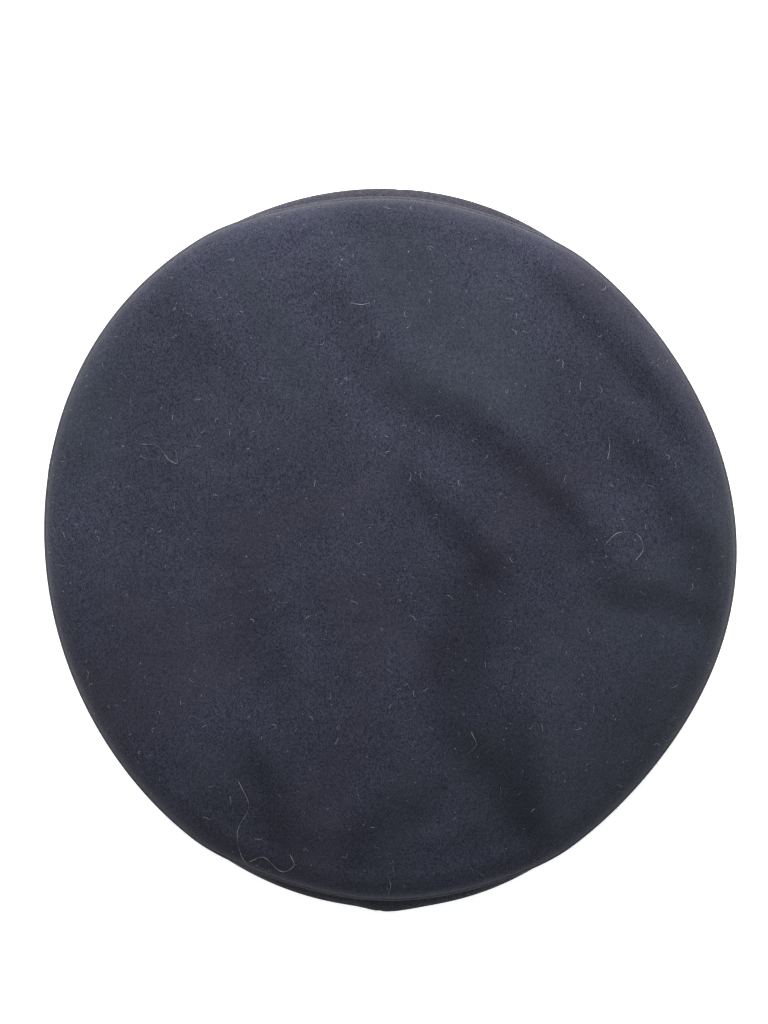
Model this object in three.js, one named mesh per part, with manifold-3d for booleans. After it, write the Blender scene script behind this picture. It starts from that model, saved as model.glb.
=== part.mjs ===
// A sewn wool beret, lying flat with its crown up. Millimetres, +Z up, front towards -Y, the wearer's left at +X.
// The origin is on the table, under the middle of the crown's outline.
//
// The beret is cut and sewn: a round tip on top, two half-ring side panels below it, a lining cut the same way,
// and a head opening whose raw edges are wrapped in a ribbon, with a leather sweatband standing inside it.
// Every layer of cloth is a line in section, (radius, height), given its thickness and turned round the axis.

import * as THREE from "three";
import { mergeVertices } from "three/addons/utils/BufferGeometryUtils.js";
import Module from "manifold-3d";

const wasm = await Module();
wasm.setup();

// ---- driving dimensions ----

const CROWN_RADIUS = 142; // mean radius of the outline, an eleven inch beret
const HEAD_RADIUS = 91.5; // inside the sweatband, for a head 57.5 cm round
const CROWN_TOP = 37; // outside of the tip above the table
const SEAM_HEIGHT = 18.25; // where the tip meets the side panels
const SEAM_ALLOWANCE = 8; // cloth turned in behind each seam
const SWEATBAND_HEIGHT = 22.5;

const FELT = 2; // cloth thicknesses
const SATIN = 0.5;
const LEATHER = 1;
const RIBBON = 0.6;
const THREAD = 0.4; // diameter

const GAP = 0.3; // between two layers that lie on each other
const SEGMENTS = 40; // round the axis
const THREAD_SIDES = 4;

// ---- the crown's relaxed outline ----

// A soft crown doesn't lie in a true circle. Each lobe puts that many waves round the outline, with one crest at
// the angle given in degrees from +X, and its size is a share of the radius.
const LOBES = [
  { waves: 1, size: 0.013, crest: 137 },
  { waves: 2, size: 0.024, crest: 103 },
  { waves: 3, size: 0.01, crest: 15 },
  { waves: 4, size: 0.006, crest: 87 },
  { waves: 5, size: 0.004, crest: -3 },
];
const LOBES_FROM = HEAD_RADIUS + 6; // the head opening stays round, and the lobes grow from here
const LOBES_FULL = CROWN_RADIUS - 4;
const SEAM_TUCK = 3.3; // at the front and back seams the side panels roll out past the tip by this much
const TUCK_START = 0.84; // and the roll runs out where the sine of the angle falls to this

function outlineShare(angle) {
  return LOBES.reduce(
    (sum, lobe) => sum + lobe.size * Math.cos(lobe.waves * (angle - THREE.MathUtils.degToRad(lobe.crest))),
    0,
  );
}

// Moves every point of a turned layer to where it lies in the relaxed crown. Layers keep their order.
function relax(geometry) {
  const position = geometry.attributes.position;
  for (let i = 0; i < position.count; i++) {
    const [x, y, z] = [position.getX(i), position.getY(i), position.getZ(i)];
    const radius = Math.hypot(x, y);
    if (radius < LOBES_FROM) continue;
    const angle = Math.atan2(y, x);
    const outwards = THREE.MathUtils.smoothstep(radius, LOBES_FROM, LOBES_FULL);
    const aboveRoll = THREE.MathUtils.smoothstep(z, SEAM_HEIGHT - 5, SEAM_HEIGHT);
    const nearSeam = THREE.MathUtils.smoothstep(Math.abs(Math.sin(angle)), TUCK_START, 1);
    const tuck = SEAM_TUCK * nearSeam * outwards * aboveRoll;
    const moved = 1 + outwards * outlineShare(angle) - tuck / radius;
    position.setXYZ(i, x * moved, y * moved, z);
  }
  return geometry;
}

// ---- making layers ----

function point(radius, height) {
  return new THREE.Vector2(radius, height);
}

// The corners of a path in section, without repeats.
function cornersOf(path) {
  return path.getPoints(1).filter((p, i, all) => i === 0 || p.distanceTo(all[i - 1]) > 1e-6);
}

// A row of corners shifted sideways, to the left of the way it runs: up for a row that runs out from the axis, and
// down for one that runs in from the rim. A corner on the axis stays on it.
function shifted(corners, distance) {
  const last = corners.length - 1;
  return corners.map((corner, i) => {
    const before = corner.clone().sub(corners[Math.max(i - 1, 0)]).normalize();
    const after = corners[Math.min(i + 1, last)].clone().sub(corner).normalize();
    const run = before.clone().add(after).normalize();
    const mitre = distance / Math.max(run.dot(i === last ? before : after), 0.6);
    if (corner.x < 1e-6) return point(0, corner.y + distance);
    return point(corner.x - run.y * mitre, corner.y + run.x * mitre);
  });
}

// The closed outline, in section, of a layer of cloth whose middle follows the corners.
function layerOutline(corners, thickness) {
  const outline = [...shifted(corners, thickness / 2), ...shifted(corners, -thickness / 2).reverse()];
  const closesOnAxis = corners[0].x < 1e-6;
  return closesOnAxis ? outline : [...outline, outline[0].clone()];
}

// An outline turned right round the axis, facing out whichever way it runs.
function turned(outline) {
  const ordered = THREE.ShapeUtils.area(outline) < 0 ? [...outline].reverse() : outline;
  return new THREE.LatheGeometry(ordered, SEGMENTS).rotateX(Math.PI / 2);
}

function layer(corners, thickness) {
  return relax(turned(layerOutline(corners, thickness)));
}

// A ring of thread that lies along a seam.
function threadRing(radius, height) {
  const circle = new THREE.Path().absarc(radius, height, THREAD / 2, 0, 2 * Math.PI);
  return relax(turned(circle.getSpacedPoints(THREAD_SIDES)));
}

// A thread along the front seam (towards = -1) or the back seam (+1), through corners in section.
function seamThread(corners, towards) {
  const circle = new THREE.Shape().absarc(0, 0, THREAD / 2, 0, 2 * Math.PI);
  const along = new THREE.CatmullRomCurve3(corners.map((p) => new THREE.Vector3(0, towards * p.x, p.y)));
  const steps = 2 * corners.length;
  return relax(new THREE.ExtrudeGeometry(circle, { steps, curveSegments: THREAD_SIDES, extrudePath: along }));
}

// ---- joining and cutting ----

function toSolid(geometry) {
  const bare = geometry.clone();
  bare.deleteAttribute("normal");
  bare.deleteAttribute("uv");
  const merged = mergeVertices(bare, 1e-3);
  return new wasm.Manifold(
    new wasm.Mesh({
      numProp: 3,
      vertProperties: new Float32Array(merged.attributes.position.array),
      triVerts: new Uint32Array(merged.index.array),
    }),
  );
}

function toGeometry(solid) {
  const mesh = solid.getMesh();
  const geometry = new THREE.BufferGeometry();
  geometry.setAttribute("position", new THREE.BufferAttribute(mesh.vertProperties, 3));
  geometry.setIndex(new THREE.BufferAttribute(mesh.triVerts, 1));
  geometry.computeVertexNormals();
  return geometry;
}

const REACH = 2 * CROWN_RADIUS; // past everything

// A cutting block between two planes across X, on one or both sides of the seams, and either side of y = 0.
function slab(lowX, highX, lowY = -REACH) {
  const geometry = new THREE.BoxGeometry(highX - lowX, REACH - lowY, 2 * REACH);
  return toSolid(geometry.translate((highX + lowX) / 2, (REACH + lowY) / 2, 0));
}

// What lies to one side of the front and back seams: side is +1 for the wearer's left, -1 for the right.
function besideSeams(side, width = REACH) {
  const near = (side * GAP) / 2;
  const far = side * width;
  return slab(Math.min(near, far), Math.max(near, far));
}

// ---- the outer cloth, in section ----

const feltEdge = HEAD_RADIUS + 2.4; // cut edge of the cloth at the head opening
const flangeEnd = CROWN_RADIUS - 2 - SEAM_ALLOWANCE;
const tipFlange = SEAM_HEIGHT + (GAP + FELT) / 2; // middles of the two layers turned in at the tip seam
const sideFlange = SEAM_HEIGHT - (GAP + FELT) / 2;
const onRibbon = RIBBON + GAP + FELT / 2; // middle of the side panels where the binding wraps them
const onTable = FELT / 2; // and where they lie on the table

// The tip: flat across the middle, down to its edge, and turned back in along the seam.
function tipCorners() {
  const middleTop = CROWN_TOP - FELT / 2;
  const turn = 1.2;
  const turnCentre = point(CROWN_RADIUS - 2.2, tipFlange + turn);
  const path = new THREE.Path().moveTo(0, middleTop).lineTo(60, middleTop);
  path.splineThru([
    point(90, middleTop - 0.5),
    point(113, middleTop - 2),
    point(129, middleTop - 4.9),
    point(137.2, middleTop - 8.6),
  ]);
  path.absarc(turnCentre.x, turnCentre.y, turn, Math.PI / 5, -Math.PI / 2, true);
  path.lineTo(flangeEnd, tipFlange);
  return cornersOf(path);
}

// The side panels' underside, from the roll of the rim to the head opening.
const underside = [
  point(CROWN_RADIUS - 1.6, 12.4),
  point(CROWN_RADIUS - 5.6, 8.2),
  point(CROWN_RADIUS - 13.5, 4.9),
  point(CROWN_RADIUS - 25, 2.3),
  point(CROWN_RADIUS - 35, onTable),
];

// A side panel: out along the seam, over the roll of the rim, and back under to the head opening.
function sideCorners() {
  const turn = 2;
  const rollMiddle = CROWN_RADIUS - FELT / 2;
  const path = new THREE.Path().moveTo(flangeEnd, sideFlange).lineTo(rollMiddle - turn, sideFlange);
  path.absarc(rollMiddle - turn, sideFlange - turn, turn, Math.PI / 2, 0, true);
  for (const corner of underside) path.lineTo(corner.x, corner.y);
  path.lineTo(feltEdge + 8.4, onTable);
  path.lineTo(feltEdge + 4.9, onRibbon);
  path.lineTo(feltEdge, onRibbon);
  return cornersOf(path);
}

const allowanceCorners = shifted(underside.slice(1, 4), -0.9 * FELT); // fused to the panel it is pressed on

// ---- the lining, in section ----

const liningTop = CROWN_TOP - FELT - 1.4 - SATIN / 2;
const liningRim = { radius: CROWN_RADIUS - 12.6, turn: 0.8, flange: 1.3, seam: SEAM_HEIGHT - 2.05 };

function liningTipCorners() {
  const { radius, turn, flange, seam } = liningRim;
  const lower = seam + (GAP + SATIN) / 2;
  const path = new THREE.Path().moveTo(0, liningTop).lineTo(60, liningTop);
  path.splineThru([
    point(88, liningTop - 0.8),
    point(108, liningTop - 3.6),
    point(121, liningTop - 8),
    point(127.6, liningTop - 12.4),
    point(radius, lower + turn),
  ]);
  path.absarc(radius + turn, lower + turn, turn, Math.PI, 1.5 * Math.PI, false);
  path.lineTo(radius + turn + flange, lower);
  return cornersOf(path);
}

function liningSideCorners() {
  const { radius, turn, flange, seam } = liningRim;
  const upper = seam - (GAP + SATIN) / 2;
  const onFelt = onRibbon + FELT / 2 + GAP + SATIN / 2;
  const path = new THREE.Path().moveTo(radius + turn + flange, upper).lineTo(radius + turn, upper);
  path.absarc(radius + turn, upper - turn, turn, Math.PI / 2, Math.PI, false);
  path.splineThru([
    point(radius - 0.9, 12.2),
    point(radius - 4, 9.9),
    point(radius - 11, 8.2),
    point(radius - 21, 6.4),
    point(radius - 29, onFelt),
    point(feltEdge + 0.4, onFelt),
  ]);
  return cornersOf(path);
}

// ---- the head opening, in section ----

// The ribbon is folded over the raw edges of the cloth and the lining.
const binding = { inner: HEAD_RADIUS + 1.5, width: 5.5, height: 2 * (RIBBON + GAP) + FELT + GAP + SATIN };

function bindingCorners() {
  const foldedAt = binding.inner + RIBBON / 2;
  const edge = binding.inner + binding.width;
  const [low, high] = [RIBBON / 2, binding.height - RIBBON / 2];
  return [point(edge, low), point(foldedAt, low), point(foldedAt, high), point(edge, high)];
}

const sweatbandFoot = 0.6;

function sweatbandCorners() {
  const middle = HEAD_RADIUS + LEATHER / 2;
  return [point(middle, sweatbandFoot), point(middle, sweatbandFoot + SWEATBAND_HEIGHT)];
}

// A tab covers the sweatband's butted ends at the back.
const TAB = { width: 20, low: 4.5, high: 21.5 };

function tabCorners() {
  const middle = HEAD_RADIUS - GAP - LEATHER / 2;
  return [point(middle, TAB.low), point(middle, TAB.high)];
}

// ---- the label ----

const LABEL = { width: 50, depth: 28, thickness: 0.5, y: 12, hem: 2.2 };
const labelTop = liningTop - SATIN / 2 - GAP;

function rectangle(width, depth) {
  const [x, y] = [width / 2, depth / 2];
  return [point(-x, -y), point(x, -y), point(x, y), point(-x, y)];
}

function flatPiece(shape, thickness, top) {
  const geometry = new THREE.ExtrudeGeometry(shape, { depth: thickness, bevelEnabled: false });
  return geometry.translate(0, LABEL.y, top - thickness);
}

function labelPiece() {
  return flatPiece(new THREE.Shape(rectangle(LABEL.width, LABEL.depth)), LABEL.thickness, labelTop);
}

// Its stitching runs round inside its edge as one closed loop of thread.
function labelThread() {
  const [width, depth] = [LABEL.width - 2 * LABEL.hem, LABEL.depth - 2 * LABEL.hem];
  const shape = new THREE.Shape(rectangle(width, depth));
  shape.holes.push(new THREE.Path(rectangle(width - 2 * THREAD, depth - 2 * THREAD)));
  return flatPiece(shape, THREAD, labelTop - LABEL.thickness - GAP);
}

// ---- the assembly ----

const materials = {
  felt: new THREE.MeshStandardMaterial({ color: 0x2c2f3b, roughness: 0.95, metalness: 0 }),
  satin: new THREE.MeshStandardMaterial({ color: 0x1d2030, roughness: 0.45, metalness: 0 }),
  ribbon: new THREE.MeshStandardMaterial({ color: 0x181a22, roughness: 0.8, metalness: 0 }),
  leather: new THREE.MeshStandardMaterial({ color: 0x1c1a19, roughness: 0.55, metalness: 0 }),
  thread: new THREE.MeshStandardMaterial({ color: 0x23252f, roughness: 0.7, metalness: 0 }),
  label: new THREE.MeshStandardMaterial({ color: 0xd9d4c6, roughness: 0.85, metalness: 0 }),
};

const beret = new THREE.Group();

function addPiece(name, geometry, material) {
  const mesh = new THREE.Mesh(geometry, material);
  mesh.name = name;
  beret.add(mesh);
}

addPiece("crown_tip", layer(tipCorners(), FELT), materials.felt);
addPiece("lining_tip", layer(liningTipCorners(), SATIN), materials.satin);
addPiece("label", labelPiece(), materials.label);
addPiece("label_thread", labelThread(), materials.thread);

const sideRing = toSolid(layer(sideCorners(), FELT));
const allowanceRing = toSolid(layer(allowanceCorners, FELT));
const liningRing = toSolid(layer(liningSideCorners(), SATIN));
for (const [name, side] of [["left", 1], ["right", -1]]) {
  const panel = sideRing.intersect(besideSeams(side));
  const allowance = allowanceRing.intersect(besideSeams(side, SEAM_ALLOWANCE));
  addPiece(`side_panel_${name}`, toGeometry(panel.add(allowance)), materials.felt);
  addPiece(`lining_side_${name}`, toGeometry(liningRing.intersect(besideSeams(side))), materials.satin);
}

addPiece("edge_binding", layer(bindingCorners(), RIBBON), materials.ribbon);
const buttedEnds = slab(-GAP / 2, GAP / 2, 0);
const sweatband = toSolid(layer(sweatbandCorners(), LEATHER)).subtract(buttedEnds);
addPiece("sweatband", toGeometry(sweatband), materials.leather);
const tab = toSolid(layer(tabCorners(), LEATHER)).intersect(slab(-TAB.width / 2, TAB.width / 2, 0));
addPiece("sweatband_tab", toGeometry(tab), materials.leather);

// Each thread lies a gap off the cloth it sews.
const lift = GAP + THREAD / 2;
const threadRings = {
  tip_seam_thread: [CROWN_RADIUS - 6.2, tipFlange + FELT / 2 + lift],
  lining_seam_thread: [liningRim.radius + 1.5, liningRim.seam + GAP / 2 + SATIN + lift],
  binding_thread: [binding.inner + 0.7 * binding.width, binding.height + lift],
  sweatband_thread: [HEAD_RADIUS - lift, 2.6],
};
for (const [name, [radius, height]] of Object.entries(threadRings)) {
  addPiece(name, threadRing(radius, height), materials.thread);
}

const panelThread = shifted(underside.slice(1, 4), -1.4 * FELT - lift);
const liningThread = shifted(liningSideCorners().slice(5, 8), -SATIN / 2 - lift);
for (const [name, towards] of [["front", -1], ["back", 1]]) {
  addPiece(`${name}_seam_thread`, seamThread(panelThread, towards), materials.thread);
  addPiece(`${name}_lining_thread`, seamThread(liningThread, towards), materials.thread);
}

// The lobes leave the outline's middle a little off the axis, so the beret is moved back over the origin.
const outlineBox = new THREE.Box3().setFromObject(beret);
const outlineMiddle = outlineBox.getCenter(new THREE.Vector3());
beret.position.set(-outlineMiddle.x, -outlineMiddle.y, -outlineBox.min.z);

export default beret;
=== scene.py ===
import math
import random

import bmesh
import bpy
import numpy as np
from mathutils import Matrix, Vector, noise
from mathutils.bvhtree import BVHTree


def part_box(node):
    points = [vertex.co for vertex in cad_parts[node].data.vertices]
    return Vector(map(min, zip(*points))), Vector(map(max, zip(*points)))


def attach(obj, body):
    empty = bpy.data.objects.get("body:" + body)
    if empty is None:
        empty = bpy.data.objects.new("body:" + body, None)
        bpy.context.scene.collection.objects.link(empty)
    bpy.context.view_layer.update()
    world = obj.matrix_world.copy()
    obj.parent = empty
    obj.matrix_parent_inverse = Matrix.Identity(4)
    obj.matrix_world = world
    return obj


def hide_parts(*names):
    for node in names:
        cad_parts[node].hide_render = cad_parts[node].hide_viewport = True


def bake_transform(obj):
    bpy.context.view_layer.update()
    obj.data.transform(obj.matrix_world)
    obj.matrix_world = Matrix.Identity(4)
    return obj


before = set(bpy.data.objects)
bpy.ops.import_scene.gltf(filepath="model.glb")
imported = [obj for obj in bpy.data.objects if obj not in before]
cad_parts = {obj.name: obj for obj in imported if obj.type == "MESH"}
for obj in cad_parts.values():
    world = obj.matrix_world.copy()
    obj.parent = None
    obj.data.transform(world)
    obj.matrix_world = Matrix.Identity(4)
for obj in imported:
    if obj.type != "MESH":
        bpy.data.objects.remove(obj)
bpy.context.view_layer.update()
random.seed(11)

mm = 0.001
bindingLow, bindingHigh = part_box("edge_binding")
axisX = (bindingLow.x + bindingHigh.x) / 2  # the head opening's middle, which every section turns round
axisY = (bindingLow.y + bindingHigh.y) / 2

# the crown's relaxed outline: how many waves run round it, each wave's share of the radius, and one crest in degrees
crown = {
    "radius": 142 * mm,
    "lobes": [(1, 0.013, 137), (2, 0.024, 103), (3, 0.010, 15), (4, 0.006, 87), (5, 0.004, -3)],
    "lobesFrom": 97.5 * mm,
    "seamHeight": 18.25 * mm,
    "tuck": 3.6 * mm,  # how far the side panels roll out past the tip at front and back
    "bandOut": 1.3 * mm,  # of which this much is past the frame's own outline
    "tuckStart": 0.84,
    "frontBulge": 1.6 * mm,  # the front seam pushes the roll out a little more
    "rimWave": 1.1 * mm,
}

# soft folds that the crown has settled into: places as shares of its radius, each with its depth and its width in
# millimetres, and how dark the painted shade along the fold is; the cloth stands higher to the left of each path as
# it runs
folds = [
    {"darkness": 1, "path": [(-0.27, 0.84, 0.25, 9), (-0.2, 0.72, 0.6, 9), (-0.11, 0.61, 0.6, 10),
        (-0.05, 0.52, 0.8, 11), (0.02, 0.445, 1, 11), (0.12, 0.4, 1, 9.5), (0.24, 0.345, 1.1, 9),
        (0.33, 0.27, 1, 8), (0.42, 0.19, 0.9, 7.5), (0.5, 0.115, 1, 7.5), (0.56, 0.03, 1, 8),
        (0.6, -0.06, 0.9, 8), (0.66, -0.115, 0.6, 8), (0.78, -0.115, 0.6, 7), (0.92, -0.165, 0.8, 7)]},
    {"darkness": 2.1, "path": [(0.03, 0.24, 0.1, 7), (0.12, 0.13, 0.7, 7), (0.2, 0.05, 0.7, 7),
        (0.27, -0.03, 1, 8), (0.305, -0.09, 1.5, 8), (0.28, -0.15, 1.8, 8), (0.25, -0.24, 1.7, 7.5),
        (0.22, -0.35, 1.7, 8), (0.19, -0.44, 1.6, 8), (0.17, -0.51, 1, 8)]},
    {"darkness": 2.1, "path": [(0.19, -0.5, 0.3, 8), (0.28, -0.57, 0.5, 9), (0.345, -0.63, 0.9, 10),
        (0.385, -0.7, 1.3, 9), (0.425, -0.79, 1.1, 7)]},
    {"darkness": 2.1, "path": [(0.38, -0.44, 0.4, 8), (0.385, -0.52, 1.3, 8), (0.37, -0.62, 1.2, 8),
        (0.36, -0.67, 0.5, 8)]},
    {"darkness": 1.1, "path": [(0.36, 0.81, 0.3, 7), (0.45, 0.745, 0.8, 7), (0.52, 0.68, 1, 7),
        (0.6, 0.6, 1, 7), (0.69, 0.5, 1.1, 7), (0.78, 0.39, 1, 7), (0.84, 0.3, 0.5, 7)]},
    {"darkness": 1.1, "path": [(0.6, 0.37, 0.3, 7), (0.66, 0.31, 0.8, 7), (0.74, 0.22, 0.8, 8),
        (0.8, 0.13, 1, 9), (0.86, 0.03, 1.1, 9), (0.89, -0.07, 0.7, 8)]},
    {"darkness": 0.8, "path": [(-0.66, 0.67, 0.3, 9), (-0.55, 0.57, 0.45, 10), (-0.45, 0.49, 0.45, 10),
        (-0.36, 0.4, 0.3, 9)]},
    {"darkness": 1.1, "path": [(-0.4, -0.02, 0.2, 9), (-0.385, -0.14, 0.6, 10), (-0.35, -0.27, 0.6, 12),
        (-0.3, -0.4, 0.5, 12), (-0.29, -0.52, 0.3, 12)]},
    {"darkness": 1.1, "path": [(-0.42, -0.53, 0.3, 9), (-0.345, -0.6, 0.9, 8), (-0.305, -0.71, 1, 8),
        (-0.28, -0.84, 1.1, 7)]},
    {"darkness": 1.1, "path": [(-0.1, -0.88, 0.3, 8), (-0.06, -0.81, 0.8, 8), (-0.02, -0.72, 0.6, 7)]},
    {"darkness": 0.9, "path": [(0.04, -0.82, 0.25, 7), (0.07, -0.75, 0.6, 7), (0.13, -0.65, 0.3, 7)]},
    {"darkness": 0.9, "path": [(-0.2, -0.94, 0.2, 9), (-0.4, -0.88, 0.4, 9), (-0.6, -0.76, 0.2, 10)]},
]
# shade and the most pressed share set how strongly painted shade darkens the felt along the folds
foldShape = {"steepness": 0.145, "core": 0.6, "skirt": 1.2, "skirtShift": 0.9, "skirtShare": 0.4, "shade": 0.28,
             "mostFoldShade": 2.2}


def smoothstep(low, high, value):
    t = np.clip((value - low) / (high - low), 0, 1)
    return t * t * (3 - 2 * t)


def smoothPath(points, count):
    # a Catmull-Rom line through the points, evenly spaced in parameter
    p = np.array(points, float)
    p = np.vstack([2 * p[0] - p[1], p, 2 * p[-1] - p[-2]])
    spans = len(p) - 3
    found = []
    for u in np.linspace(0, spans - 1e-9, count):
        i = int(u)
        t = u - i
        a, b, c, d = p[i : i + 4]
        bend = (2 * a - 5 * b + 4 * c - d) * t**2 + (3 * b - a - 3 * c + d) * t**3
        found.append(0.5 * (2 * b + (c - a) * t + bend))
    return np.array(found)


def lobeShare(angle):
    return sum(size * np.cos(waves * (angle - math.radians(crest))) for waves, size, crest in crown["lobes"])


def foldHeight(x, y):
    # how far the crown lies above or below its even shape, in metres, and how much painted shade darkens the felt in
    # its folds; each short piece of a fold's path adds its own share, so that bends and ends stay smooth
    height = np.zeros(len(x))
    pressed = np.zeros(len(x))
    narrow, wide, shift = foldShape["core"], foldShape["skirt"], foldShape["skirtShift"]
    for fold in folds:
        path = smoothPath(fold["path"], 8 * len(fold["path"]))
        line = path[:, :2] * crown["radius"]
        run = np.gradient(line, axis=0)
        step = np.linalg.norm(run, axis=1)
        run /= step[:, None]
        depth, width = path[:, 2], path[:, 3] * mm
        dx = (x[:, None] - line[None, :, 0]) / width
        dy = (y[:, None] - line[None, :, 1]) / width
        side = dy * run[:, 0] - dx * run[:, 1]
        near = dx**2 + dy**2
        share = depth * step / (math.sqrt(2 * math.pi) * width)
        height += (foldShape["steepness"] * share * width * side * np.exp(0.5 - 0.5 * near)).sum(1)
        core = share / narrow * np.exp(-0.5 * near / narrow**2)
        fallen = near + 2 * shift * side + shift**2
        skirt = foldShape["skirtShare"] * share / wide * np.exp(-0.5 * fallen / wide**2)
        pressed += fold["darkness"] * (core + skirt).sum(1)
    most = foldShape["mostFoldShade"]
    return height, most * (1 - np.exp(-pressed / most))


def swell(x, y):
    # slow unevenness of the whole crown and shallow ripples in it
    values = [
        0.9 * noise.noise(Vector((u / 0.07, v / 0.07, 3.1))) + 0.22 * noise.noise(Vector((u / 0.022, v / 0.03, 8.4)))
        for u, v in zip(x, y)
    ]
    return np.array(values) * mm


# the crown's top sheet as simulated: a grid of light wool that grows a little between its pinned rim and settles
drape = {"cells": 96, "halfWidth": 150 * mm, "rim": 0.93, "hold": 0.3, "growth": 0.03, "frames": 22, "most": 1.6 * mm}
topLine = [(0, 37), (60, 36.95), (90, 36.5), (113, 35.05), (129, 32.3), (135, 29.9), (139, 26), (150, 24)]


def simulateDrape():
    # how far each place of a grid moves when the folded crown settles as cloth, in metres
    count = drape["cells"] + 1
    bm = bmesh.new()
    bmesh.ops.create_grid(bm, x_segments=drape["cells"], y_segments=drape["cells"], size=drape["halfWidth"])
    mesh = bpy.data.meshes.new("drape")
    bm.to_mesh(mesh)
    bm.free()
    places = readPlaces(mesh)
    radius, angle = polar(places)
    rim = radius / (1 + lobeShare(angle))
    even = np.interp(rim / mm, [r for r, _ in topLine], [z for _, z in topLine]) * mm
    places[:, 2] = even + foldHeight(*places.T[:2])[0] + swell(*places.T[:2])
    writePlaces(mesh, places)
    sheet = bpy.data.objects.new("drape", mesh)
    bpy.context.scene.collection.objects.link(sheet)
    pins = sheet.vertex_groups.new(name="held")
    held = rim > drape["rim"] * crown["radius"]
    pins.add(np.nonzero(held)[0].tolist(), 1.0, "REPLACE")
    pins.add(np.nonzero(~held)[0].tolist(), drape["hold"], "REPLACE")
    cloth = sheet.modifiers.new("wool", "CLOTH")
    settings = cloth.settings
    settings.quality = 5
    settings.mass = 0.2
    settings.tension_stiffness = 15
    settings.compression_stiffness = 12
    settings.shear_stiffness = 6
    settings.bending_stiffness = 1.2
    settings.shrink_min = -drape["growth"]
    settings.shrink_max = -drape["growth"]
    settings.vertex_group_mass = "held"
    cloth.collision_settings.use_collision = False
    cloth.point_cache.frame_start = 1
    cloth.point_cache.frame_end = drape["frames"]
    scene = bpy.context.scene
    for step in range(1, drape["frames"] + 1):
        scene.frame_set(step)
    settled = sheet.evaluated_get(bpy.context.evaluated_depsgraph_get())
    moved = (readPlaces(settled.data)[:, 2] - places[:, 2]).reshape(count, count)
    bpy.data.objects.remove(sheet)
    bpy.data.meshes.remove(mesh)
    scene.frame_set(1)
    for _ in range(2):  # the felt is too thick for sharp creases
        moved[1:-1, 1:-1] = (moved[1:-1, 1:-1] * 2 + moved[:-2, 1:-1] + moved[2:, 1:-1] + moved[1:-1, :-2]
                             + moved[1:-1, 2:]) / 6
    print("crown drape moved", round(moved.min() / mm, 2), "to", round(moved.max() / mm, 2), "mm")
    return np.clip(moved, -drape["most"], drape["most"])


def drapeHeight(x, y):
    # the simulated movement at each place, between the grid's points
    cell = 2 * drape["halfWidth"] / drape["cells"]
    column = np.clip((x + drape["halfWidth"]) / cell, 0, drape["cells"] - 1e-6)
    row = np.clip((y + drape["halfWidth"]) / cell, 0, drape["cells"] - 1e-6)
    i, j = column.astype(int), row.astype(int)
    u, v = column - i, row - j
    low = draped[j, i] * (1 - u) + draped[j, i + 1] * u
    high = draped[j + 1, i] * (1 - u) + draped[j + 1, i + 1] * u
    return low * (1 - v) + high * v


def relief(x, y):
    return foldHeight(x, y)[0] + swell(x, y) + drapeHeight(x, y)


def settle(co, crownShare=0.0):
    # moves places from the round section to where the soft crown lies, in the frame; crownShare is how much of the
    # crown's folds they take
    x, y, z = co.T
    radius = np.hypot(x, y)
    angle = np.arctan2(y, x)
    outwards = smoothstep(crown["lobesFrom"], crown["radius"] - 4 * mm, radius)
    aboveRoll = smoothstep(crown["seamHeight"] - 5 * mm, crown["seamHeight"], z)
    nearSeam = smoothstep(crown["tuckStart"], 1, np.abs(np.sin(angle)))
    tuck = crown["tuck"] * nearSeam * outwards * aboveRoll
    frontAway = (angle + math.pi / 2) * crown["radius"] / mm - 1.5
    frontAway = frontAway / np.where(frontAway < 0, 7.5, 13)  # it falls away faster on the wearer's right
    bulge = crown["frontBulge"] * np.exp(-(frontAway**2)) * outwards * (1 - aboveRoll) * smoothstep(2 * mm, 9 * mm, z)
    band = crown["bandOut"] * nearSeam * outwards * (1 - aboveRoll) * smoothstep(4 * mm, 12 * mm, z)
    share = outwards * lobeShare(angle) + (bulge + band - tuck) / np.maximum(radius, 1 * mm)
    share = np.where(radius < crown["lobesFrom"], 0, share)
    newX, newY = x * (1 + share), y * (1 + share)
    wave = np.cos(2 * angle + 0.7) + 0.6 * np.cos(3 * angle - 1.1) + 0.35 * np.cos(7 * angle + 2.0)
    lift = crown["rimWave"] * wave * outwards * smoothstep(3 * mm, 15 * mm, z)
    if crownShare:
        inside = 1 - smoothstep(crown["radius"] - 16 * mm, crown["radius"] - 3 * mm, radius)
        lift = lift + crownShare * inside * relief(newX, newY)
    return np.column_stack([newX + axisX, newY + axisY, z + lift])


def readPlaces(mesh):
    flat = np.empty(len(mesh.vertices) * 3)
    mesh.vertices.foreach_get("co", flat)
    return flat.reshape(-1, 3)


def writePlaces(mesh, co):
    mesh.vertices.foreach_set("co", np.ascontiguousarray(co, float).ravel())
    mesh.update()


def polar(places):
    return np.hypot(places[:, 0], places[:, 1]), np.arctan2(places[:, 1], places[:, 0])


def writeShare(mesh, name, values):
    # a value from 0 up for each vertex, which the felt's material reads
    shares = mesh.attributes.new(name, "FLOAT", "POINT")
    shares.data.foreach_set("value", values.astype(np.float32))


draped = simulateDrape()


def addPiece(name, mesh, material, smooth=True):
    piece = bpy.data.objects.new(name, mesh)
    bpy.context.scene.collection.objects.link(piece)
    mesh.materials.clear()
    mesh.materials.append(material)
    if smooth:
        mesh.shade_smooth()
    return piece


def sectionLine(points, spacing):
    # a smooth line in section, (radius, height) in millimetres, sampled about every so many millimetres
    fine = smoothPath(points, 40 * len(points))
    length = np.concatenate([[0], np.cumsum(np.linalg.norm(np.diff(fine, axis=0), axis=1))])
    count = max(2, round(length[-1] / spacing) + 1)
    where = np.linspace(0, length[-1], count)
    return np.column_stack([np.interp(where, length, fine[:, 0]), np.interp(where, length, fine[:, 1])])


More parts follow.
